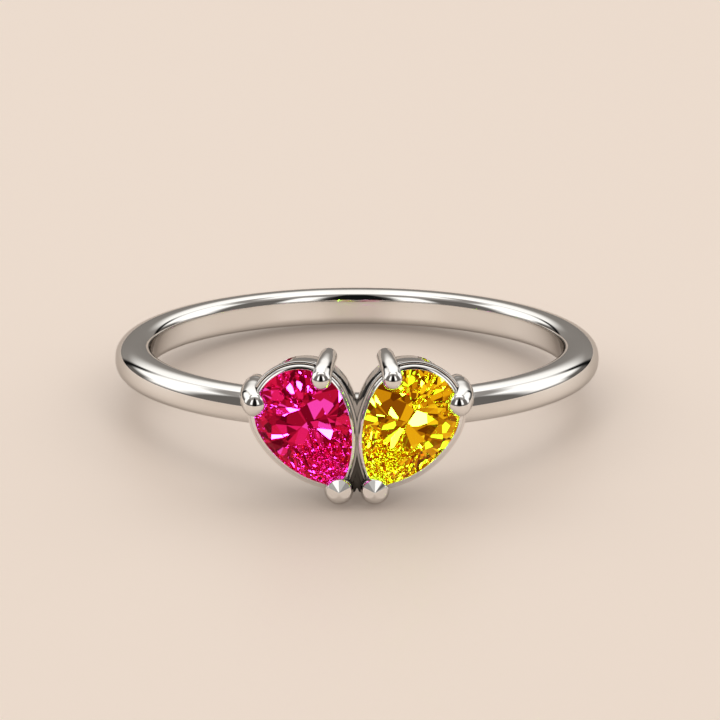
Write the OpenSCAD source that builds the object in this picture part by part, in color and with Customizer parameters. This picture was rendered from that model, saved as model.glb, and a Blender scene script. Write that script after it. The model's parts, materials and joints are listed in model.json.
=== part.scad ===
// A finger ring of polished white metal with two pear-cut stones, lying on its side.
// The origin is the middle of the finger hole. The stones face -Y.
// The head is taller than the band, so it lifts the front of the ring a few degrees.

/* [Band] */
// Inside diameter of the finger hole
bore_d = 17.75; // [15:0.25:21]
// Thickness of the band, from the finger outwards
band_t = 1.56; // [1.3:0.02:2]
// Width of the band, along the finger
band_w = 1.53; // [1.5:0.01:2]
// Corner radius on the outside of the band
outer_round = 0.72; // [0.6:0.02:0.74]
// Corner radius where the flat inner wall meets the sides
inner_round = 0.45; // [0.3:0.01:0.5]

/* [Stones] */
// Width of a stone across its round end
stone_w = 4; // [3.8:0.05:4.1]
// Length of a stone from its round end to its point
stone_l = 5.75; // [5.6:0.05:6]
// Height of the crown above the girdle
crown_h = 0.62; // [0.5:0.02:0.8]
// Slope of the pavilion's main facets
pavilion_slope = 40.5; // [38:0.5:42]
// Thickness of the girdle where a facet meets it
girdle_t = 0.08; // [0.06:0.01:0.14]
// Lean of each stone's long axis in the girdle plane
stone_turn = 28.4; // [26:0.2:31]

/* [Head] */
// Distance from the wall of the finger hole to the girdle of the stones
girdle_rise = 3.225; // [3.1:0.025:3.6]
// Sideways distance from the middle of the head to a round end's centre
stone_side = 2.45; // [2.44:0.01:2.6]
// Height of a round end's centre above the middle of the band
stone_up = 0.57; // [0.4:0.01:0.7]
// Width of the thin rim that shows round a stone
rim_w = 0.1; // [0.09:0.01:0.13]
// Depth of the basket behind the girdle
basket_h = 2.55; // [2.4:0.05:2.7]
// Lean of the baskets' backs towards the middle of the head
basket_lean = 4.5; // [3:0.5:6]
// Radius of the bead at a stone's point
bead_r = 0.6; // [0.5:0.02:0.65]
// Radius of a prong's shaft
shaft_r = 0.37; // [0.32:0.01:0.42]
// Gap between a stone and the metal round it
seat_gap = 0.02; // [0.015:0.005:0.03]

/* [Hidden] */
$fn = 64;

bore_r = bore_d / 2;
girdle_out = bore_r + girdle_rise;
stone_r = stone_w / 2;
point_l = stone_l - stone_r;
// The pear's sides are arcs that leave the round end at its widest.
side_r = (point_l * point_l + stone_r * stone_r) / stone_w;
side_shift = side_r - stone_r;
side_sweep = asin(point_l / side_r);
far = 40;

// The seat and the basket's wall, in the stone's own frame, whose z is 0 at the girdle.
// The rim's lip reaches a little over the edge of the crown.
rim_top = 0.2;
rim_bottom = -0.26;
arch_top = 0.08;
seat_inset = 0.24;
// The girdle is thicker between two facets than where a facet meets it.
ledge_depth = girdle_t / 2 + 0.1;
crown_start = girdle_t / 2 + 0.07;
crown_room = 1;
room_behind = 0.6;
wall_front = 0.2;
wall_back = 0;
wall_shift = [0.14, -0.02];
wall_t = 0.32;
// The wall is drawn this much too long and then cut off behind the rim.
wall_spare = 0.4;
back_rail = 0.3;
arch_w = 2.9;
arch_turn = 143;
arch_start = 0.6;
arch_run = 3;

// Where each prong stands: how far sideways, how far out from the wall of the finger hole
// and how far up its root, its elbow and its tip are
outer_root = [-4.27, 0.825, 1.34];
outer_elbow = [-4.47, 3.025, 1.17];
outer_tip = [-4.38, 3.575, 1.02];
outer_tip_r = 0.53;
crown_root = [-1.22, 0.825, 2.5];
crown_elbow = [-1.42, 2.925, 2.43];
crown_tip = [-1.54, 3.805, 2.14];
crown_tip_r = 0.46;
bead_root = [-0.45, 0.875, -2.45];
bead_tip = [-0.78, 3.545, -2.78];
bead_shaft_r = 0.42;
elbow_swell = 1.03;
tip_taper = 0.9;

// Solder fills the cleft between the two baskets: a saddle at the top, and under it a keel
// that is hollowed to a peak between the lowest prongs
web_w = 0.74;
web_back = bore_r + 0.725;
saddle_front = bore_r + 3.025;
saddle_top = 0.7;
saddle_round = 1.1;
keel_front = bore_r + 2.475;
keel_top = -1;
keel_bottom = -3.15;
hollow_top = -2.94;
hollow_half_w = 0.13;

// The ring rests on its two beads and the back of its band, so their common tangent is
// the floor. The band's own corner and a bead are circles in the plane of symmetry.
rest_r = bore_r + band_t - outer_round;
rest_z = -(band_w / 2 - outer_round);
rest_y = bore_r + bead_tip[1] + rest_r;
rest_rise = rest_z - bead_tip[2];
tilt = atan(rest_rise / rest_y) + asin((bead_r - outer_round) / norm([rest_y, rest_rise]));

function facing(turn) = [sin(turn), cos(turn)];

// How far the pear's outline reaches in a direction, turned from its round end
function reach(turn) =
    let (t = abs(turn))
    t <= 90 ? stone_r
    : t <= 90 + side_sweep ? side_r - side_shift * sin(t)
    : -point_l * cos(t);

// A facet is [turn, slope, distance from the stone's centre]: slopes under 90 face
// outwards on the crown, and pavilion slopes are kept negative.
function facet_through(turn, slope, point) =
    let (n = facing(turn), s = abs(slope), z = abs(point[2]))
    [turn, slope, (n[0] * point[0] + n[1] * point[1]) * sin(s) + z * cos(s)];

function facet_from_girdle(turn, point, side) =
    let (n = facing(turn),
         run = reach(turn) - n[0] * point[0] - n[1] * point[1],
         slope = atan((abs(point[2]) - girdle_t / 2) / run))
    facet_through(turn, side * slope, point);

function facet_at_slope(turn, slope) =
    [turn, slope, reach(turn) * sin(abs(slope)) + girdle_t / 2 * cos(slope)];

// The point where two neighbouring facets meet at a height above or below the girdle
function meet(a, b, height) =
    let (da = (a[2] - height * cos(a[1])) / sin(abs(a[1])),
         db = (b[2] - height * cos(b[1])) / sin(abs(b[1])),
         na = facing(a[0]), nb = facing(b[0]),
         det = na[0] * nb[1] - na[1] * nb[0])
    [(da * nb[1] - db * na[1]) / det, (na[0] * db - nb[0] * da) / det, height];

crown_turns = [-142, -112, -80, -40, 0, 40, 80, 112, 142];
pavilion_turns = [-146, -118, -90, -60, -30, 0, 30, 60, 90, 118, 146];
point_turns = [-162, 162];
crown_slope = 35;
star_slope = 22;
// How far up the crown the stars start, and how far down the pavilion the lower facets reach
star_share = 0.56;
lower_share = 0.78;
star_height = girdle_t / 2 + star_share * (crown_h - girdle_t / 2);
pavilion_h = girdle_t / 2 + stone_r * tan(pavilion_slope);
lower_height = lower_share * pavilion_h;
// The rough stone reaches a little deeper than the facets leave it.
rough_spare = 0.05;

crown_mains = [for (t = crown_turns) facet_at_slope(t, crown_slope)];
pavilion_mains = [for (t = pavilion_turns) facet_at_slope(t, -pavilion_slope)];

function meets(mains, height) =
    [for (i = [0 : len(mains) - 2]) meet(mains[i], mains[i + 1], height)];

crown_meets = meets(crown_mains, star_height);
lower_meets = meets(pavilion_mains, lower_height);
point_meet = meet(crown_mains[len(crown_mains) - 1], crown_mains[0], star_height);

// The two turns that lie a quarter of the way in from two neighbouring ones
function quarters(turns, i) =
    let (step = (turns[i + 1] - turns[i]) / 4)
    [turns[i] + step, turns[i + 1] - step];

star_facets = concat(
    [for (i = [0 : len(crown_meets) - 1])
        facet_through((crown_turns[i] + crown_turns[i + 1]) / 2, star_slope, crown_meets[i])],
    [facet_through(180, star_slope, point_meet)]);
upper_facets = concat(
    [for (i = [0 : len(crown_meets) - 1], t = quarters(crown_turns, i))
        facet_from_girdle(t, crown_meets[i], 1)],
    [for (t = point_turns) facet_from_girdle(t, point_meet, 1)]);
lower_facets = [for (i = [0 : len(lower_meets) - 1], t = quarters(pavilion_turns, i))
    facet_from_girdle(t, lower_meets[i], -1)];
all_facets = concat(crown_mains, star_facets, upper_facets, pavilion_mains, lower_facets);

module pear_outline() {
    intersection() {
        circle(stone_r);
        translate([-far / 2, 0]) square(far);
    }
    intersection() {
        translate([-side_shift, 0]) circle(side_r);
        translate([side_shift, 0]) circle(side_r);
        translate([-far / 2, -far]) square(far);
    }
}

// A pear between two heights, its outline grown by one amount at the back and another
// at the front
module pear_solid(back, front, grow_back, grow_front) {
    h = front - back;
    translate([0, 0, back]) {
        intersection() {
            cylinder(h = h, r1 = stone_r + grow_back, r2 = stone_r + grow_front);
            translate([-far / 2, 0, -h / 2]) cube([far, far, 2 * h]);
        }
        intersection() {
            translate([-side_shift, 0, 0])
                cylinder(h = h, r1 = side_r + grow_back, r2 = side_r + grow_front);
            translate([side_shift, 0, 0])
                cylinder(h = h, r1 = side_r + grow_back, r2 = side_r + grow_front);
            translate([-far / 2, -far, -h / 2]) cube([far, far, 2 * h]);
        }
    }
}

// Takes away what lies beyond a facet
module beyond(facet) {
    rotate([0, 0, -facet[0]])
        rotate([facet[1] > 0 ? -facet[1] : -180 - facet[1], 0, 0])
            translate([-far / 2, -far / 2, facet[2]]) cube([far, far, far]);
}

module rough_stone() {
    translate([0, 0, -pavilion_h - rough_spare])
        linear_extrude(pavilion_h + rough_spare + crown_h) pear_outline();
}

// Cuts the facets one after another, as a stone cutter does
module cut_stone(facets, count) {
    if (count == 0) rough_stone();
    else difference() {
        cut_stone(facets, count - 1);
        beyond(facets[count - 1]);
    }
}

// Puts what is drawn in a stone's own frame on the left of the head
module at_left_stone() {
    translate([-stone_side, -girdle_out, stone_up])
        rotate([90, 0, 0])
            rotate([0, 0, stone_turn])
                children();
}

// The same place for a basket's wall, which leans towards the middle as it goes back
module at_left_wall() {
    translate([-stone_side + wall_shift[0], -girdle_out, stone_up + wall_shift[1]])
        rotate([90, 0, 0])
            rotate([0, -basket_lean, 0])
                rotate([0, 0, stone_turn])
                    children();
}

module both_sides() {
    children();
    mirror([1, 0, 0]) children();
}

module lie_down() {
    rotate([-tilt, 0, 0]) children();
}

function at(place) = [place[0], -bore_r - place[1], place[2]];

// A round bar between two places, with a radius at each
module bar(from, to, r_from, r_to) {
    run = at(to) - at(from);
    translate(at(from))
        rotate([0, acos(run[2] / norm(run)), atan2(run[1], run[0])])
            cylinder(h = norm(run), r1 = r_from, r2 = r_to);
}

module ball(place, r) {
    translate(at(place)) sphere(r);
}

module prong(root, elbow, tip, tip_r) {
    bar(root, elbow, shaft_r, shaft_r);
    ball(elbow, shaft_r * elbow_swell);
    bar(elbow, tip, shaft_r, tip_r * tip_taper);
    ball(tip, tip_r);
}

module band_section() {
    half = band_w / 2;
    outside = bore_r + band_t;
    translate([bore_r + inner_round, -half])
        square([band_t - inner_round - outer_round, band_w]);
    translate([bore_r, -half + inner_round])
        square([inner_round, band_w - 2 * inner_round]);
    translate([outside - outer_round, -half + outer_round])
        square([outer_round, band_w - 2 * outer_round]);
    for (s = [-1, 1]) {
        translate([bore_r + inner_round, s * (half - inner_round)]) circle(inner_round);
        translate([outside - outer_round, s * (half - outer_round)]) circle(outer_round);
    }
}

module band() {
    rotate_extrude($fn = 180) band_section();
}

// A slot with round ends that runs outwards through the wall
module arch() {
    end_r = (basket_h - back_rail + rim_bottom - arch_top) / 2;
    straight = arch_w - 2 * end_r;
    rotate([0, 0, arch_turn - stone_turn])
        translate([0, 0, rim_bottom - arch_top - end_r])
            rotate([0, 90, 0])
                translate([0, 0, arch_start]) {
                    for (s = [-1, 1])
                        translate([0, s * straight / 2, 0]) cylinder(h = arch_run, r = end_r);
                    translate([-end_r, -straight / 2, 0])
                        cube([2 * end_r, straight, arch_run]);
                }
}

// The wall behind the rim, on its own side of the middle
module wall() {
    grow_out = (wall_front - wall_back) / (basket_h + rim_bottom);
    intersection() {
        difference() {
            at_left_wall()
                pear_solid(-basket_h, rim_bottom + wall_spare,
                    wall_back, wall_front + grow_out * wall_spare);
            at_left_wall()
                pear_solid(-basket_h - wall_spare, rim_bottom + 2 * wall_spare,
                    wall_back - wall_t - grow_out * wall_spare,
                    wall_front - wall_t + 2 * grow_out * wall_spare);
            at_left_wall() arch();
        }
        translate([-far, -girdle_out - rim_bottom, -far / 2]) cube([far, far, far]);
    }
}

module rim() {
    at_left_stone() pear_solid(rim_bottom, rim_top, rim_w, rim_w);
}

// The side of the saddle, with its upper front edge rounded
module saddle_side() {
    low = keel_top;
    straight_front = saddle_front - saddle_round;
    straight_top = saddle_top - saddle_round;
    translate([web_back, low]) square([saddle_front - web_back, straight_top - low]);
    translate([web_back, low]) square([straight_front - web_back, saddle_top - low]);
    translate([straight_front, straight_top]) circle(saddle_round);
}

module keel_front_view() {
    half = web_w / 2;
    polygon([[-half, keel_top], [half, keel_top], [half, keel_bottom], [hollow_half_w, keel_bottom],
        [0, hollow_top], [-hollow_half_w, keel_bottom], [-half, keel_bottom]]);
}

module web() {
    translate([web_w / 2, 0, 0])
        rotate([90, 0, -90]) linear_extrude(web_w) saddle_side();
    translate([0, -web_back, 0])
        rotate([90, 0, 0]) linear_extrude(keel_front - web_back) keel_front_view();
}

// The room that a stone takes in the metal, with a gap all round
module stone_room() {
    g = seat_gap;
    seat_back = -ledge_depth - seat_inset;
    pear_solid(-ledge_depth, crown_start, g, g);
    pear_solid(crown_start, crown_start + crown_room, g, g - crown_room);
    pear_solid(seat_back, -ledge_depth, g - seat_inset, g);
    pear_solid(seat_back - room_behind, seat_back, -seat_inset - room_behind, g - seat_inset);
}

module ring_metal() {
    color("gainsboro") lie_down() {
        difference() {
            union() {
                band();
                web();
                both_sides() {
                    rim();
                    wall();
                    prong(outer_root, outer_elbow, outer_tip, outer_tip_r);
                    prong(crown_root, crown_elbow, crown_tip, crown_tip_r);
                    bar(bead_root, bead_tip, bead_shaft_r, bead_shaft_r);
                    ball(bead_tip, bead_r);
                }
            }
            both_sides() at_left_stone() stone_room();
        }
    }
}

module pink_stone() {
    color("deeppink") lie_down() at_left_stone() cut_stone(all_facets, len(all_facets));
}

module yellow_stone() {
    color("gold") lie_down() mirror([1, 0, 0]) at_left_stone() cut_stone(all_facets, len(all_facets));
}

ring_metal();
pink_stone();
yellow_stone();
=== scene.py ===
import json
import math
import bmesh
import bpy
from mathutils import Matrix, Vector


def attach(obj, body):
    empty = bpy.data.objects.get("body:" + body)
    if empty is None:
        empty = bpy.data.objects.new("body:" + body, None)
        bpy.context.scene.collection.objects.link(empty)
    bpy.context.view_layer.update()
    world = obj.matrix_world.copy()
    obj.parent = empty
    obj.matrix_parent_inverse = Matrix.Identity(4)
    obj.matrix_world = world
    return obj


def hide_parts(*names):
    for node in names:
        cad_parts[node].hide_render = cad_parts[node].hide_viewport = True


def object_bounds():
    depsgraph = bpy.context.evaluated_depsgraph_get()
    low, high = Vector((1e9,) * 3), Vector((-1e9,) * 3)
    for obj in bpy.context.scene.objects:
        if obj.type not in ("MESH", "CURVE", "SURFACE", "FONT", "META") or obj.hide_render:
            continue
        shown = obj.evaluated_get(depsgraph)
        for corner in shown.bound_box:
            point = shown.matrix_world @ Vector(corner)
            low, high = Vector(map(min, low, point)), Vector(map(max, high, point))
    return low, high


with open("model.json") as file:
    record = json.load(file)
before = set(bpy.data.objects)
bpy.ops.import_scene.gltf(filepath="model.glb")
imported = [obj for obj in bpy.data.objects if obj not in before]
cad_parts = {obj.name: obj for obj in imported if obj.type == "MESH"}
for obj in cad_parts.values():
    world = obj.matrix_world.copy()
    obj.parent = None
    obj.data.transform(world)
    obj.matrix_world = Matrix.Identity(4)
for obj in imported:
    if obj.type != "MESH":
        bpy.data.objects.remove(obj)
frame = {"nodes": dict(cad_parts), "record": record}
cadLow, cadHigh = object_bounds()
print("Frame loaded:", ", ".join(sorted(frame["nodes"])))

# The metal is modelled in millimetres in the plane of the band, where the finger's axis is
# upright, and each finished piece is tipped the way the ring lies and scaled to metres.
holeAxis = frame["record"]["mounts"][0]["axis"]
ringTilt = math.atan2(holeAxis[1], holeAxis[2])
millimetre = 0.001

# Camera, at the photograph's viewing angle

cameraSet = {
    "imageSize": 720,
    "pixelsPerMm": 23.17,
    "ringCentreAt": (357.0, 357.8),  # pixels from the top left
    "angleAboveBand": 13.8,  # degrees above the plane of the band
    "distance": 1.2,  # metres
    "sensorWidth": 36.0,
    "clip": (0.01, 10),
}


def makeCamera(values):
    elevation = math.radians(values["angleAboveBand"]) + ringTilt
    middle = values["imageSize"] / 2
    pixel = millimetre / values["pixelsPerMm"]
    data = bpy.data.cameras.new("photoCamera")
    data.sensor_width = values["sensorWidth"]
    seen = values["imageSize"] * pixel
    data.lens = values["sensorWidth"] * values["distance"] / seen
    data.clip_start, data.clip_end = values["clip"]
    camera = bpy.data.objects.new("photoCamera", data)
    bpy.context.scene.collection.objects.link(camera)
    back = Vector((0, -math.cos(elevation), math.sin(elevation)))
    up = Vector((0, math.sin(elevation), math.cos(elevation)))
    right = Vector((1, 0, 0))
    across = (middle - values["ringCentreAt"][0]) * pixel
    down = (middle - values["ringCentreAt"][1]) * pixel
    camera.location = right * across - up * down + back * values["distance"]
    camera.rotation_mode = "QUATERNION"
    camera.rotation_quaternion = (-back).to_track_quat("-Z", "Y")
    bpy.context.scene.camera = camera


makeCamera(cameraSet)
print("Camera placed")

# Helpers for working by hand. Distances are in millimetres.

joinDistance = 0.0005  # corners that are closer than this are joined
fineJoin = 0.0001  # the same where a profile's own corners are close together
nearby = 0.01  # a corner that is this close to a plane counts as on it
easedSteps = 2
easedFrom = 50  # degrees that an edge turns by before it is eased


def deselectAll():
    active = bpy.context.view_layer.objects.active
    if active and active.mode != "OBJECT":
        bpy.ops.object.mode_set(mode="OBJECT")
    bpy.ops.object.select_all(action="DESELECT")


def makeActive(piece):
    deselectAll()
    piece.select_set(True)
    bpy.context.view_layer.objects.active = piece


def startEditing(piece):
    makeActive(piece)
    bpy.ops.object.mode_set(mode="EDIT")
    bpy.ops.mesh.select_mode(type="VERT")


def pickVerts(piece, wanted):
    bpy.ops.mesh.select_mode(type="VERT")
    mesh = bmesh.from_edit_mesh(piece.data)
    mesh.verts.index_update()
    for vert in mesh.verts:
        vert.select_set(wanted(vert))
    mesh.select_flush_mode()
    bmesh.update_edit_mesh(piece.data)


def pickEdges(piece, wanted):
    bpy.ops.mesh.select_mode(type="EDGE")
    mesh = bmesh.from_edit_mesh(piece.data)
    for edge in mesh.edges:
        edge.select_set(wanted(edge.verts[0].co, edge.verts[1].co))
    bmesh.update_edit_mesh(piece.data)


def closeUp(distance=joinDistance):
    bpy.ops.mesh.select_all(action="SELECT")
    bpy.ops.mesh.remove_doubles(threshold=distance)
    bpy.ops.mesh.normals_make_consistent(inside=False)
    bpy.ops.object.mode_set(mode="OBJECT")


def applyPlace(piece, matrix):
    makeActive(piece)
    piece.matrix_world = matrix @ piece.matrix_world
    bpy.ops.object.transform_apply(location=True, rotation=True, scale=True)


def applyModifier(piece, kind, **values):
    makeActive(piece)
    modifier = piece.modifiers.new(kind.lower(), kind)
    for name, value in values.items():
        setattr(modifier, name, value)
    bpy.ops.object.modifier_apply(modifier=modifier.name)


def mirrorAcross(piece):
    applyModifier(piece, "MIRROR", use_axis=(True, False, False), merge_threshold=joinDistance)


def cutWith(piece, cutter):
    applyModifier(piece, "BOOLEAN", operation="DIFFERENCE", object=cutter, solver="EXACT")


def easeEdges(piece, width):
    applyModifier(piece, "BEVEL", width=width, segments=easedSteps, limit_method="ANGLE",
                  angle_limit=math.radians(easedFrom), use_clamp_overlap=True)


def makeBox(name, middle, size):
    deselectAll()
    bpy.ops.mesh.primitive_cube_add(size=1, location=middle)
    box = bpy.context.object
    box.name = name
    box.scale = size
    applyPlace(box, Matrix.Identity(4))
    return box


def roundPicked(kind, size, steps, fullness=0.5):
    bpy.ops.mesh.bevel(offset=size, offset_type="OFFSET", affect=kind, segments=steps, profile=fullness)


def mirroredCopy(piece, name):
    makeActive(piece)
    bpy.ops.object.duplicate(linked=False)
    copy = bpy.context.object
    copy.name = name
    applyPlace(copy, Matrix.Scale(-1, 4, (1, 0, 0)))
    startEditing(copy)
    closeUp()
    return copy


def layDown(piece, smoothAngle):
    tip = Matrix.Rotation(-ringTilt, 4, "X") @ Matrix.Scale(millimetre, 4)
    applyPlace(piece, tip)
    makeActive(piece)
    bpy.ops.object.shade_smooth_by_angle(angle=math.radians(smoothAngle))


def ringPlace(place):
    return Vector((place[0], -place[1], place[2]))  # sideways, out from the axis, up


# Band

bandSet = {
    "boreRadius": 8.875,
    "thickness": 1.56,
    "width": 1.53,
    "squash": 0.8,  # the radial size while its corners are rounded, so that they end up oval
    "outerRound": 0.76,
    "outerFullness": 0.56,  # over 0.5 is fuller than a round
    "innerRound": 0.44,
    "innerFullness": 0.55,
    "outerSteps": 18,
    "innerSteps": 10,
    "turns": 288,
    "smoothAngle": 60,
}


def makeBand(values):
    deselectAll()
    inside = values["boreRadius"]
    squashed = values["thickness"] * values["squash"]
    middle = inside + squashed / 2
    bpy.ops.mesh.primitive_plane_add(size=1, location=(middle, 0, 0), rotation=(math.pi / 2, 0, 0))
    band = bpy.context.object
    band.name = "band"
    band.scale = (squashed, values["width"], 1)
    applyPlace(band, Matrix.Identity(4))
    startEditing(band)
    bpy.ops.mesh.delete(type="ONLY_FACE")
    pickVerts(band, lambda vert: vert.co.x > middle)
    roundPicked("VERTICES", values["outerRound"], values["outerSteps"], values["outerFullness"])
    pickVerts(band, lambda vert: vert.co.x < inside + nearby)
    roundPicked("VERTICES", values["innerRound"], values["innerSteps"], values["innerFullness"])
    bpy.ops.mesh.select_all(action="SELECT")
    bpy.ops.transform.resize(value=(1 / values["squash"], 1, 1), center_override=(inside, 0, 0))
    bpy.ops.mesh.spin(steps=values["turns"], angle=2 * math.pi, center=(0, 0, 0), axis=(0, 0, 1))
    closeUp()
    layDown(band, values["smoothAngle"])
    return band


band = makeBand(bandSet)
print("Band made:", len(band.data.polygons), "faces")

# Baskets. A pear is a half circle of the stone's round end and two side arcs that meet at
# its point. A profile is spun along them, so it keeps its width all the way round.

pearSet = {
    "width": 4.0,
    "length": 5.75,
    "turn": 28.4,
    "sideways": 2.45,
    "girdleOut": 12.1,
    "up": 0.57,
    "roundSteps": 28,
    "sideSteps": 40,
    "overrun": 8,  # degrees that a side arc runs past the point before it is cut there
}
stoneRadius = pearSet["width"] / 2
pointLength = pearSet["length"] - stoneRadius
sideRadius = (pointLength ** 2 + stoneRadius ** 2) / pearSet["width"]
sideShift = sideRadius - stoneRadius
sideSweep = math.asin(pointLength / sideRadius)


def stonePlace(shift=(0, 0), lean=0):
    place = Vector((-pearSet["sideways"] + shift[0], -pearSet["girdleOut"], pearSet["up"] + shift[1]))
    return (
        Matrix.Translation(place)
        @ Matrix.Rotation(math.pi / 2, 4, "X")
        @ Matrix.Rotation(math.radians(-lean), 4, "Y")
        @ Matrix.Rotation(math.radians(pearSet["turn"]), 4, "Z")
    )


def spinPear(piece):
    makeActive(piece)
    bpy.ops.object.mode_set(mode="EDIT")
    bpy.ops.mesh.select_all(action="SELECT")
    bpy.ops.mesh.spin(steps=pearSet["roundSteps"], angle=math.pi / 2,
                      center=(0, 0, 0), axis=(0, 0, 1))
    bpy.ops.mesh.spin(steps=pearSet["sideSteps"],
                      angle=sideSweep + math.radians(pearSet["overrun"]),
                      center=(-sideShift, 0, 0), axis=(0, 0, 1))
    bpy.ops.mesh.select_all(action="SELECT")
    bpy.ops.mesh.bisect(plane_co=(0, 0, 0), plane_no=(-1, 0, 0), clear_outer=True)
    closeUp(fineJoin)
    mirrorAcross(piece)
    startEditing(piece)
    closeUp(fineJoin)


# A ring of as many points as the profile has corners, each moved to its corner, which is given
# as its distance outside the stone's outline and its height in front of the girdle
def makeProfile(name, corners, rounding, steps):
    deselectAll()
    bpy.ops.mesh.primitive_circle_add(vertices=len(corners), radius=0.1,
                                      location=(0, stoneRadius, 0),
                                      rotation=(math.pi / 2, 0, math.pi / 2))
    profile = bpy.context.object
    profile.name = name
    applyPlace(profile, Matrix.Identity(4))
    starts = [vert.co.copy() for vert in profile.data.vertices]
    startEditing(profile)
    for number, (outside, height) in enumerate(corners):
        pickVerts(profile, lambda vert: vert.index == number)
        goal = Vector((0, stoneRadius + outside, height))
        bpy.ops.transform.translate(value=goal - starts[number])
    bpy.ops.mesh.select_all(action="SELECT")
    roundPicked("VERTICES", rounding, steps)
    bpy.ops.object.mode_set(mode="OBJECT")
    return profile


rimSet = {
    "lip": [(0.105, 0.03), (0.105, -0.24), (-0.16, -0.34), (-0.12, -0.28), (0.024, -0.14),
            (0.024, 0.07), (-0.078, 0.168), (-0.05, 0.2), (0.03, 0.16), (0.085, 0.1)],
    "lipRound": 0.014,
    "shoulder": [(0.215, -0.1), (0.215, -0.4), (0.03, -0.4), (0.03, -0.1)],
    "shoulderRound": 0.045,
    "steps": 4,
    "smoothAngle": 40,
}


def makeRim(name, corners, rounding):
    rim = makeProfile(name, corners, rounding, rimSet["steps"])
    spinPear(rim)
    applyPlace(rim, stonePlace())
    return rim


rims = []
for part in ("lip", "shoulder"):
    left = makeRim("left" + part.capitalize(), rimSet[part], rimSet[part + "Round"])
    right = mirroredCopy(left, "right" + part.capitalize())
    rims += [left, right]
for piece in rims:
    layDown(piece, rimSet["smoothAngle"])
print("Rims made:", len(rims[0].data.polygons), "faces each")

wallSet = {
    "bulge": [(0.14, 0.14), (0.2, -0.45), (0.19, -1.0), (0.12, -1.6), (0.02, -2.1), (-0.09, -2.55)],
    "thickness": 0.32,
    "depth": 2.55,
    "rimBottom": -0.26,
    "shift": (0.14, -0.02),
    "lean": 4.5,
    "edge": 0.03,
    "edgeSteps": 3,
    "archWidth": 2.9,
    "archTop": 0.08,
    "backRail": 0.3,
    "archTurn": 143,
    "archStart": 0.6,
    "archRun": 3.0,
    "archSteps": 16,
    "archFlat": 0.001,  # half of what stays flat between its two rounded corners
    "joinDistance": 0.002,
    "smoothAngle": 35,
}


def makeArchCutter(values):
    high = values["depth"] - values["backRail"] + values["rimBottom"] - values["archTop"]
    middle = values["rimBottom"] - values["archTop"] - high / 2
    run = values["archRun"]
    cutter = makeBox("archCutter", (values["archStart"] + run / 2, 0, middle),
                     (run, values["archWidth"], high))
    startEditing(cutter)
    pickEdges(cutter, lambda start, end: abs(start.x - end.x) > run / 2)
    roundPicked("EDGES", high / 2 - values["archFlat"], values["archSteps"])
    closeUp()
    turn = math.radians(values["archTurn"] - pearSet["turn"])
    applyPlace(cutter, Matrix.Rotation(turn, 4, "Z"))
    return cutter


def makeWalls(values):
    inside = [(outside - values["thickness"], height) for outside, height in values["bulge"]]
    corners = values["bulge"] + inside[::-1]
    walls = makeProfile("basketWalls", corners, values["edge"], values["edgeSteps"])
    spinPear(walls)
    cutter = makeArchCutter(values)
    cutWith(walls, cutter)
    bpy.data.objects.remove(cutter)
    applyPlace(walls, stonePlace(values["shift"], values["lean"]))
    frontCut = -(pearSet["girdleOut"] + values["rimBottom"])
    startEditing(walls)
    bpy.ops.mesh.select_all(action="SELECT")
    bpy.ops.mesh.bisect(plane_co=(0, frontCut, 0), plane_no=(0, -1, 0),
                        clear_outer=True, use_fill=True)
    bpy.ops.mesh.select_all(action="SELECT")
    bpy.ops.mesh.bisect(plane_co=(0, 0, 0), plane_no=(1, 0, 0), clear_outer=True)
    bpy.ops.object.mode_set(mode="OBJECT")
    mirrorAcross(walls)
    startEditing(walls)
    closeUp(values["joinDistance"])
    easeEdges(walls, values["edge"])
    return walls


basketWalls = makeWalls(wallSet)
layDown(basketWalls, wallSet["smoothAngle"])
print("Basket walls made:", len(basketWalls.data.polygons), "faces")

# Solder fills the cleft between the baskets, with a hollow under it between the lowest prongs

webSet = {
    "width": 0.74,
    "saddle": {"out": (9.4, 11.9), "up": (-1.2, 0.7), "round": 1.1, "backRise": 0},
    "keel": {"out": (9.6, 11.35), "up": (-3.15, -1.0), "round": 0.2,
             "backRise": 0.55},  # its underside slopes up to the back, like the prongs beside it
    "roundSteps": 14,
    "edge": 0.03,
    "notchTop": -2.94,
    "notchStretch": 2.1,
    "notchOut": 10.5,
    "notchLength": 4,
    "smoothAngle": 40,
}


def makeWeb(name, values):
    near, far = values["out"]
    low, high = values["up"]
    web = makeBox(name, (0, -(near + far) / 2, (low + high) / 2),
                  (webSet["width"], far - near, high - low))
    startEditing(web)
    pickEdges(web, lambda *ends: all(end.y < nearby - far and end.z > high - nearby for end in ends))
    roundPicked("EDGES", values["round"], webSet["roundSteps"])
    pickVerts(web, lambda vert: vert.co.y > -near - nearby and vert.co.z < low + nearby)
    bpy.ops.transform.translate(value=(0, 0, values["backRise"]))
    closeUp()
    return web


def cutNotch(web):
    cutter = makeBox("notchCutter", (0, 0, 0), (1, 1, 1))
    applyPlace(cutter, Matrix.Rotation(math.pi / 4, 4, "Y"))
    corner = math.sqrt(0.5) * webSet["notchStretch"]
    place = Matrix.Translation((0, -webSet["notchOut"], webSet["notchTop"] - corner))
    stretch = Matrix.Diagonal((1, webSet["notchLength"], webSet["notchStretch"], 1))
    applyPlace(cutter, place @ stretch)
    cutWith(web, cutter)
    bpy.data.objects.remove(cutter)


webs = [makeWeb(name, webSet[name]) for name in ("saddle", "keel")]
cutNotch(webs[1])
for piece in webs:
    easeEdges(piece, webSet["edge"])
    layDown(piece, webSet["smoothAngle"])
print("Webs made:", len(webs))

# Prongs. Each is a round wire that stands behind the rim, swells and bends over it, and is
# seated on the stone. Places are sideways, out from the finger's axis, and up.

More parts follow.
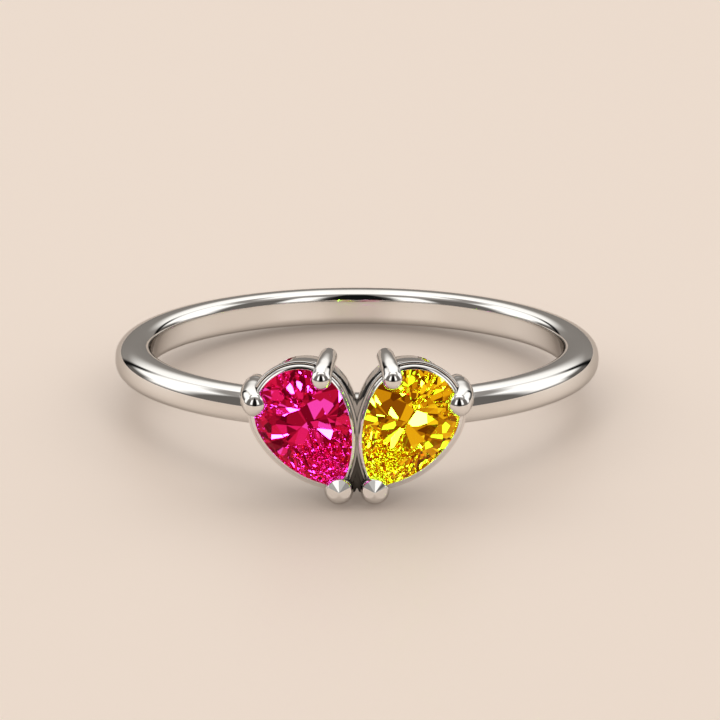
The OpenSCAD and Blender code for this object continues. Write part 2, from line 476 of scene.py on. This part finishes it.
prongSet = {
    "crown": {
        "path": [(-1.22, 9.95, 2.5), (-1.31, 10.9, 2.51), (-1.42, 11.8, 2.41), (-1.5, 12.35, 2.28),
                 (-1.54, 12.68, 2.14)],
        "radii": [0.38, 0.39, 0.41, 0.44, 0.46],
        "facets": [],
    },
    "outer": {
        "path": [(-4.27, 9.9, 1.36), (-4.38, 10.6, 1.31), (-4.46, 11.3, 1.23), (-4.47, 12.0, 1.13),
                 (-4.37, 12.45, 1.02)],
        "radii": [0.36, 0.475, 0.53, 0.54, 0.53],
        "facets": [],
    },
    "bead": {
        "path": [(-0.45, 9.75, -2.45), (-0.53, 10.8, -2.63), (-0.65, 11.7, -2.73),
                 (-0.765, 12.42, -2.755)],
        "radii": [0.42, 0.43, 0.49, 0.625],
        "facets": [-86, -50, -22, 18, 52, 84],  # turns from straight up of the flats filed on the bead
    },
    "facetLean": 28,  # of a flat's face upwards from straight ahead
    "sides": 40,
    "stepsPerBend": 7,
    "tipSteps": 11,
    "tipFlat": 0.3,  # of a step, left for the flat face that closes an end
    "seatGap": 0.02,
    "crispAngle": 11.5,  # the flats meet at more than this, and the round parts at less
}


def alongPath(points, radii, steps):
    smooth = []
    for i in range(len(points) - 1):
        before = points[max(i - 1, 0)]
        after = points[min(i + 2, len(points) - 1)]
        for k in range(steps):
            t = k / steps
            place = 0.5 * (2 * points[i] + (points[i + 1] - before) * t
                           + (2 * before - 5 * points[i] + 4 * points[i + 1] - after) * t * t
                           + (3 * points[i] - before - 3 * points[i + 1] + after) * t ** 3)
            ease = t * t * (3 - 2 * t)
            smooth.append((place, radii[i] + (radii[i + 1] - radii[i]) * ease))
    smooth.append((points[-1], radii[-1]))
    return smooth


def makeProng(name, values):
    points = [ringPlace(p) for p in values["path"]]
    stations = alongPath(points, values["radii"], prongSet["stepsPerBend"])
    firstWay = (stations[1][0] - stations[0][0]).normalized()
    lastWay = (stations[-1][0] - stations[-2][0]).normalized()
    steps = prongSet["tipSteps"]
    tipTurns = [math.pi / 2 * k / (steps + prongSet["tipFlat"]) for k in range(1, steps + 1)]
    place, radius = stations[0]
    rings = [(place - firstWay * radius * math.sin(a), firstWay, radius * math.cos(a))
             for a in reversed(tipTurns)]
    for i, (place, radius) in enumerate(stations):
        before = stations[max(i - 1, 0)][0]
        after = stations[min(i + 1, len(stations) - 1)][0]
        rings.append((place, (after - before).normalized(), radius))
    rings += [(place + lastWay * radius * math.sin(a), lastWay, radius * math.cos(a))
              for a in tipTurns]
    deselectAll()
    sides = prongSet["sides"]
    for i, (place, way, radius) in enumerate(rings):
        turn = way.to_track_quat("Z", "X").to_euler()
        if i == 0:
            bpy.ops.mesh.primitive_circle_add(vertices=sides, radius=radius, rotation=turn)
            prong = bpy.context.object
            prong.name = name
            applyPlace(prong, Matrix.Translation(place))
            startEditing(prong)
        else:
            bpy.ops.mesh.primitive_circle_add(vertices=sides, radius=radius, location=place,
                                              rotation=turn)
            pickVerts(prong, lambda vert: vert.index >= (i - 1) * sides)
            bpy.ops.mesh.bridge_edge_loops()
    for first in (0, (len(rings) - 1) * sides):
        pickVerts(prong, lambda vert: first <= vert.index < first + sides)
        bpy.ops.mesh.edge_face_add()
    lean = math.radians(prongSet["facetLean"])
    depth = values["radii"][-1] * math.cos(lean)
    for turn in values["facets"]:
        side = math.radians(turn)
        face = Vector((math.sin(lean) * math.sin(side), -math.cos(lean),
                       math.sin(lean) * math.cos(side)))
        bpy.ops.mesh.select_all(action="SELECT")
        bpy.ops.mesh.bisect(plane_co=points[-1] + face * depth, plane_no=face,
                            use_fill=True, clear_outer=True)
    closeUp()
    return prong


def makeSeatCutter(node):
    stone = frame["nodes"][node]
    cutter = bpy.data.objects.new("seatCutter", stone.data.copy())
    bpy.context.scene.collection.objects.link(cutter)
    applyPlace(cutter, Matrix.Scale(1 / millimetre, 4) @ Matrix.Rotation(ringTilt, 4, "X"))
    startEditing(cutter)
    closeUp()
    applyModifier(cutter, "DISPLACE", strength=prongSet["seatGap"], mid_level=0.0)
    return cutter


prongs = []
seatCutter = makeSeatCutter("pink_stone")
for kind in ("crown", "outer", "bead"):
    left = makeProng("left" + kind.capitalize() + "Prong", prongSet[kind])
    cutWith(left, seatCutter)
    right = mirroredCopy(left, "right" + kind.capitalize() + "Prong")
    prongs += [left, right]
bpy.data.objects.remove(seatCutter)
for piece in prongs:
    layDown(piece, prongSet["crispAngle"])
print("Prongs made:", len(prongs))

# Finishes


def newMaterial(name):
    material = bpy.data.materials.new(name)
    material.use_nodes = True
    return material, material.node_tree


# Helpers for nodes. Each source is another node's output or a plain value.


def connect(tree, source, socket):
    if isinstance(source, bpy.types.NodeSocket):
        tree.links.new(source, socket)
    else:
        socket.default_value = source


def addMath(tree, operation, first, second=0.0):
    node = tree.nodes.new("ShaderNodeMath")
    node.operation = operation
    connect(tree, first, node.inputs[0])
    connect(tree, second, node.inputs[1])
    return node.outputs[0]


def addRange(tree, value, start=0.0, end=1.0, low=0.0, high=1.0, easing="LINEAR"):
    node = tree.nodes.new("ShaderNodeMapRange")
    node.interpolation_type = easing
    for name, source in (("Value", value), ("From Min", start), ("From Max", end),
                         ("To Min", low), ("To Max", high)):
        connect(tree, source, node.inputs[name])
    return node.outputs["Result"]


def addMix(tree, mask, below, above):
    node = tree.nodes.new("ShaderNodeMix")
    node.data_type = "RGBA"
    connect(tree, mask, node.inputs["Factor"])
    connect(tree, below, node.inputs[6])
    connect(tree, above, node.inputs[7])
    return node.outputs[2]


def addNoise(tree, scale, detail=2.0):
    place = tree.nodes.new("ShaderNodeTexCoord")
    noise = tree.nodes.new("ShaderNodeTexNoise")
    noise.inputs["Scale"].default_value = scale
    noise.inputs["Detail"].default_value = detail
    tree.links.new(place.outputs["Object"], noise.inputs["Vector"])
    return noise.outputs["Fac"]


# How polished metal varies: buffing marks and a slight unevenness. Its colour also holds painted shade,
# darker in the groove between the baskets.
polishSet = {
    "markScale": 900.0,
    "markDetail": 6,
    "markRange": (0.3, 0.7),
    "waveScale": 330.0,
    "waveDetail": 1,
    "grooveHalfWidth": (0.0016, 0.0007),
    "grooveFront": (0.01206, 0.01196),
    "grooveTop": (0.0032, -0.0016),
}


def makePolish(values):
    group = bpy.data.node_groups.new("polishedMetal", "ShaderNodeTree")
    sockets = {
        "INPUT": {"Metal": "Color", "Painted Shade": "Color", "Groove": "Float", "Smoothest": "Float",
                  "Roughest": "Float", "Wave Depth": "Float"},
        "OUTPUT": {"Color": "Color", "Roughness": "Float", "Normal": "Vector"},
    }
    for way, kinds in sockets.items():
        for name, kind in kinds.items():
            group.interface.new_socket(name, in_out=way, socket_type="NodeSocket" + kind)
    given = group.nodes.new("NodeGroupInput")
    result = group.nodes.new("NodeGroupOutput")

    marks = addNoise(group, values["markScale"], values["markDetail"])
    rough = addRange(group, marks, *values["markRange"],
                     given.outputs["Smoothest"], given.outputs["Roughest"])
    group.links.new(rough, result.inputs["Roughness"])

    waves = addNoise(group, values["waveScale"], values["waveDetail"])
    uneven = group.nodes.new("ShaderNodeBump")
    uneven.inputs["Distance"].default_value = millimetre
    depth = addMath(group, "MULTIPLY", waves, given.outputs["Wave Depth"])
    group.links.new(depth, uneven.inputs["Height"])
    group.links.new(uneven.outputs["Normal"], result.inputs["Normal"])

    # Painted shade: near the middle, behind the stones and towards the bottom, the colour goes over to
    # the darker shade colour
    place = group.nodes.new("ShaderNodeTexCoord")
    level = group.nodes.new("ShaderNodeMapping")  # back to the plane of the band
    level.inputs["Rotation"].default_value = (ringTilt, 0, 0)
    group.links.new(place.outputs["Object"], level.inputs["Vector"])
    split = group.nodes.new("ShaderNodeSeparateXYZ")
    group.links.new(level.outputs["Vector"], split.inputs["Vector"])
    sideways = addMath(group, "ABSOLUTE", split.outputs["X"])
    outwards = addMath(group, "MULTIPLY", split.outputs["Y"], -1.0)
    mask = given.outputs["Groove"]
    for source, edges in ((sideways, values["grooveHalfWidth"]),
                          (outwards, values["grooveFront"]),
                          (split.outputs["Z"], values["grooveTop"])):
        mask = addMath(group, "MULTIPLY", mask, addRange(group, source, *edges))
    colour = addMix(group, mask, given.outputs["Metal"], given.outputs["Painted Shade"])
    group.links.new(colour, result.inputs["Color"])
    return group


polishedMetal = makePolish(polishSet)

# Both metals are darkened by painted shade in the groove: the white metal half way to a grey, the
# basket metal fully to near black
metalSet = {
    "whiteMetal": {"Metal": (0.86, 0.85, 0.83, 1), "Painted Shade": (0.5, 0.47, 0.44, 1), "Groove": 0.5,
                   "Smoothest": 0.025, "Roughest": 0.07, "Wave Depth": 0.003},
    "basketShadedMetal": {"Metal": (0.82, 0.8, 0.78, 1), "Painted Shade": (0.08, 0.074, 0.068, 1), "Groove": 1.0,
                    "Smoothest": 0.03, "Roughest": 0.1, "Wave Depth": 0.004},
}
edgeTint = (0.6, 0.585, 0.57, 1)  # how much darker the metal is where it turns away


def makeMetal(name, values):
    material, tree = newMaterial(name)
    shader = tree.nodes["Principled BSDF"]
    shader.inputs["Metallic"].default_value = 1
    shader.inputs["Specular Tint"].default_value = edgeTint
    polish = tree.nodes.new("ShaderNodeGroup")
    polish.node_tree = polishedMetal
    for socket, value in values.items():
        polish.inputs[socket].default_value = value
    tree.links.new(polish.outputs["Color"], shader.inputs["Base Color"])
    tree.links.new(polish.outputs["Roughness"], shader.inputs["Roughness"])
    tree.links.new(polish.outputs["Normal"], shader.inputs["Normal"])
    return material


metals = {name: makeMetal(name, values) for name, values in metalSet.items()}

gemSet = {
    "pinkGem": {"tint": (0.75, 0.012, 0.2, 1), "zone": (0.8, 0.02, 0.27, 1),
                "absorb": (0.96, 0.4, 0.6, 1)},
    "yellowGem": {"tint": (0.95, 0.5, 0.02, 1), "zone": (1.0, 0.56, 0.03, 1),
                  "absorb": (0.98, 0.85, 0.4, 1)},
    "density": 150,
    "ior": 2.1,
    "zoneScale": 260.0,  # cloudy growth zones, about 4 mm across
}


def makeGem(name, values):
    material, tree = newMaterial(name)
    shader = tree.nodes["Principled BSDF"]
    shader.inputs["Roughness"].default_value = 0.0
    shader.inputs["Transmission Weight"].default_value = 1
    shader.inputs["IOR"].default_value = gemSet["ior"]
    shader.inputs["Specular Tint"].default_value = (0, 0, 0, 1)  # no milky sheen over the facets
    colour = addMix(tree, addNoise(tree, gemSet["zoneScale"]), values["tint"], values["zone"])
    tree.links.new(colour, shader.inputs["Base Color"])
    depth = tree.nodes.new("ShaderNodeVolumeAbsorption")
    depth.inputs["Color"].default_value = values["absorb"]
    depth.inputs["Density"].default_value = gemSet["density"]
    tree.links.new(depth.outputs["Volume"], tree.nodes["Material Output"].inputs["Volume"])
    return material


for node, gem in (("pink_stone", "pinkGem"), ("yellow_stone", "yellowGem")):
    stone = frame["nodes"][node]
    stone.data.materials.clear()
    stone.data.materials.append(makeGem(gem, gemSet[gem]))

metalPieces = [band, basketWalls] + webs + rims + prongs
for piece in metalPieces:
    piece.data.materials.clear()
    # The pieces in the groove get the metal with the stronger painted shade
    inGroove = piece is basketWalls or piece is webs[1] or "Shoulder" in piece.name
    piece.data.materials.append(metals["basketShadedMetal" if inGroove else "whiteMetal"])
    piece.visible_transmission = False  # the stones show the studio's light, not their setting
    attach(piece, "root")
    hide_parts("ring_metal")
print("Finishes given")

# Floor, light and background

floorSet = {
    "size": 3.0,
    "colour": (0.88, 0.775, 0.69, 1),
    "cloud": (0.84, 0.725, 0.635, 1),
    "cloudScale": 9.0,
    "roughness": (0.42, 0.52),
    "specular": 0.25,
    "glow": (1.0, 0.8, 0.66, 1),  # light that comes through the translucent floor
    "glowStrength": 0.2,
}


def makeFloor(values):
    deselectAll()
    bpy.ops.mesh.primitive_plane_add(size=values["size"], location=(0, 0, cadLow.z))
    floor = bpy.context.object
    floor.name = "floor"
    material, tree = newMaterial("paleFloor")
    shader = tree.nodes["Principled BSDF"]
    clouds = addNoise(tree, values["cloudScale"])
    colour = addMix(tree, clouds, values["colour"], values["cloud"])
    tree.links.new(colour, shader.inputs["Base Color"])
    sheen = addRange(tree, clouds, 0.0, 1.0, *values["roughness"])
    tree.links.new(sheen, shader.inputs["Roughness"])
    shader.inputs["Specular IOR Level"].default_value = values["specular"]
    shader.inputs["Emission Color"].default_value = values["glow"]
    shader.inputs["Emission Strength"].default_value = values["glowStrength"]
    floor.data.materials.append(material)
    floor.visible_transmission = False


makeFloor(floorSet)

# The studio: a soft panel high behind the ring, a tall one on each side, a narrow one on each
# side of the camera and a white ceiling, in a grey room that is dark round the camera. The
# low part behind each side panel is dim, and a dark post stands next to it. Angles are in
# degrees. Turns start at the front and are the same on both sides.
tentSet = {
    "backPanel": {"turns": (149, 200), "heights": (17, 100), "soft": (4, 7)},
    "sidePanel": {"turns": (91, 146), "heights": (6, 48), "soft": (9, 5)},
    "frontPanel": {"turns": (24, 45), "heights": (12, 55), "soft": (5, 5)},
    "ceiling": {"turns": (92, 200), "heights": (61, 100), "soft": (22, 5)},
    "darkFront": {"turns": (-90, 19), "heights": (-90, 78), "soft": (5, 5)},
    "lowPanel": {"turns": (120, 148), "heights": (-90, 13), "soft": (6, 5)},
    "darkPost": {"turns": (143, 152), "heights": (-90, 27), "soft": (3, 6)},
    "roomTurns": (95, 130),  # where the front of the room gives way to its back
    "roomHeights": (44, 54),  # where both give way to its upper part
    "panelLight": (1.1, 1.08, 1.05, 1),
    "frontRoom": (0.12, 0.11, 0.102, 1),
    "backRoom": (0.31, 0.29, 0.27, 1),
    "upperRoom": (0.27, 0.25, 0.235, 1),
    "dark": (0.006, 0.006, 0.006, 1),
    "strength": 1.2,
    "sparkleScale": 22.0,
    "sparkles": [  # each colour of the patches, and from which random number on it is used
        (0.0, (0.12, 0.055, 0.03, 1)),
        (0.16, (0.22, 0.12, 0.06, 1)),
        (0.33, (0.36, 0.24, 0.1, 1)),
        (0.50, (0.52, 0.42, 0.16, 1)),
        (0.65, (0.7, 0.66, 0.26, 1)),
        (0.79, (0.85, 1.0, 0.55, 1)),
        (0.90, (1.05, 4.5, 2.0, 1)),
        (0.96, (12, 66, 50, 1)),
    ],
}


def makeTent(values):
    world = bpy.data.worlds.new("lightTent")
    world.use_nodes = True
    tree = world.node_tree
    place = tree.nodes.new("ShaderNodeTexCoord")
    split = tree.nodes.new("ShaderNodeSeparateXYZ")
    tree.links.new(place.outputs["Generated"], split.inputs[0])
    degree = math.degrees(1)
    height = addMath(tree, "MULTIPLY", addMath(tree, "ARCSINE", split.outputs["Z"]), degree)
    towardsFront = addMath(tree, "MULTIPLY", split.outputs["Y"], -1.0)
    turn = addMath(tree, "ARCTAN2", split.outputs["X"], towardsFront)
    turn = addMath(tree, "ABSOLUTE", addMath(tree, "MULTIPLY", turn, degree))

    def rise(source, start, end):
        return addRange(tree, source, start, end, easing="SMOOTHSTEP")

    def patch(area, below, colour):
        masks = []
        for source, edges, soft in ((turn, area["turns"], area["soft"][0]),
                                    (height, area["heights"], area["soft"][1])):
            masks.append(rise(source, edges[0] - soft, edges[0] + soft))
            masks.append(rise(source, edges[1] + soft, edges[1] - soft))
        mask = masks[0]
        for more in masks[1:]:
            mask = addMath(tree, "MULTIPLY", mask, more)
        return addMix(tree, mask, below, colour)

    tent = addMix(tree, rise(turn, *values["roomTurns"]), values["frontRoom"], values["backRoom"])
    tent = addMix(tree, rise(height, *values["roomHeights"]), tent, values["upperRoom"])
    tent = patch(values["darkFront"], tent, values["dark"])
    for panel in ("ceiling", "backPanel", "sidePanel", "frontPanel"):
        tent = patch(values[panel], tent, values["panelLight"])
    tent = patch(values["lowPanel"], tent, values["frontRoom"])
    tent = patch(values["darkPost"], tent, values["dark"])

    # Light that has come through a stone meets a patchwork of small lamps and dark gaps
    patches = tree.nodes.new("ShaderNodeTexVoronoi")
    patches.inputs["Scale"].default_value = values["sparkleScale"]
    tree.links.new(place.outputs["Generated"], patches.inputs["Vector"])
    pick = tree.nodes.new("ShaderNodeSeparateColor")
    tree.links.new(patches.outputs["Color"], pick.inputs["Color"])
    levels = tree.nodes.new("ShaderNodeValToRGB")
    levels.color_ramp.interpolation = "CONSTANT"
    stops = levels.color_ramp.elements
    for number, (start, colour) in enumerate(values["sparkles"]):
        stop = stops[number] if number < 2 else stops.new(start)
        stop.position = start
        stop.color = colour
    tree.links.new(pick.outputs["Red"], levels.inputs["Fac"])
    ray = tree.nodes.new("ShaderNodeLightPath")
    seen = addMix(tree, ray.outputs["Is Transmission Ray"], tent, levels.outputs["Color"])
    sky = tree.nodes["Background"]
    tree.links.new(seen, sky.inputs["Color"])
    sky.inputs["Strength"].default_value = values["strength"]
    bpy.context.scene.world = world


makeTent(tentSet)
scene = bpy.context.scene
scene.view_settings.view_transform = "Standard"
bounces = 64  # light goes back and forth many times inside a cut stone
scene.cycles.max_bounces = bounces
scene.cycles.transmission_bounces = bounces
scene.cycles.glossy_bounces = bounces
scene.cycles.caustics_reflective = False
scene.cycles.caustics_refractive = False
print("Floor and light tent made")
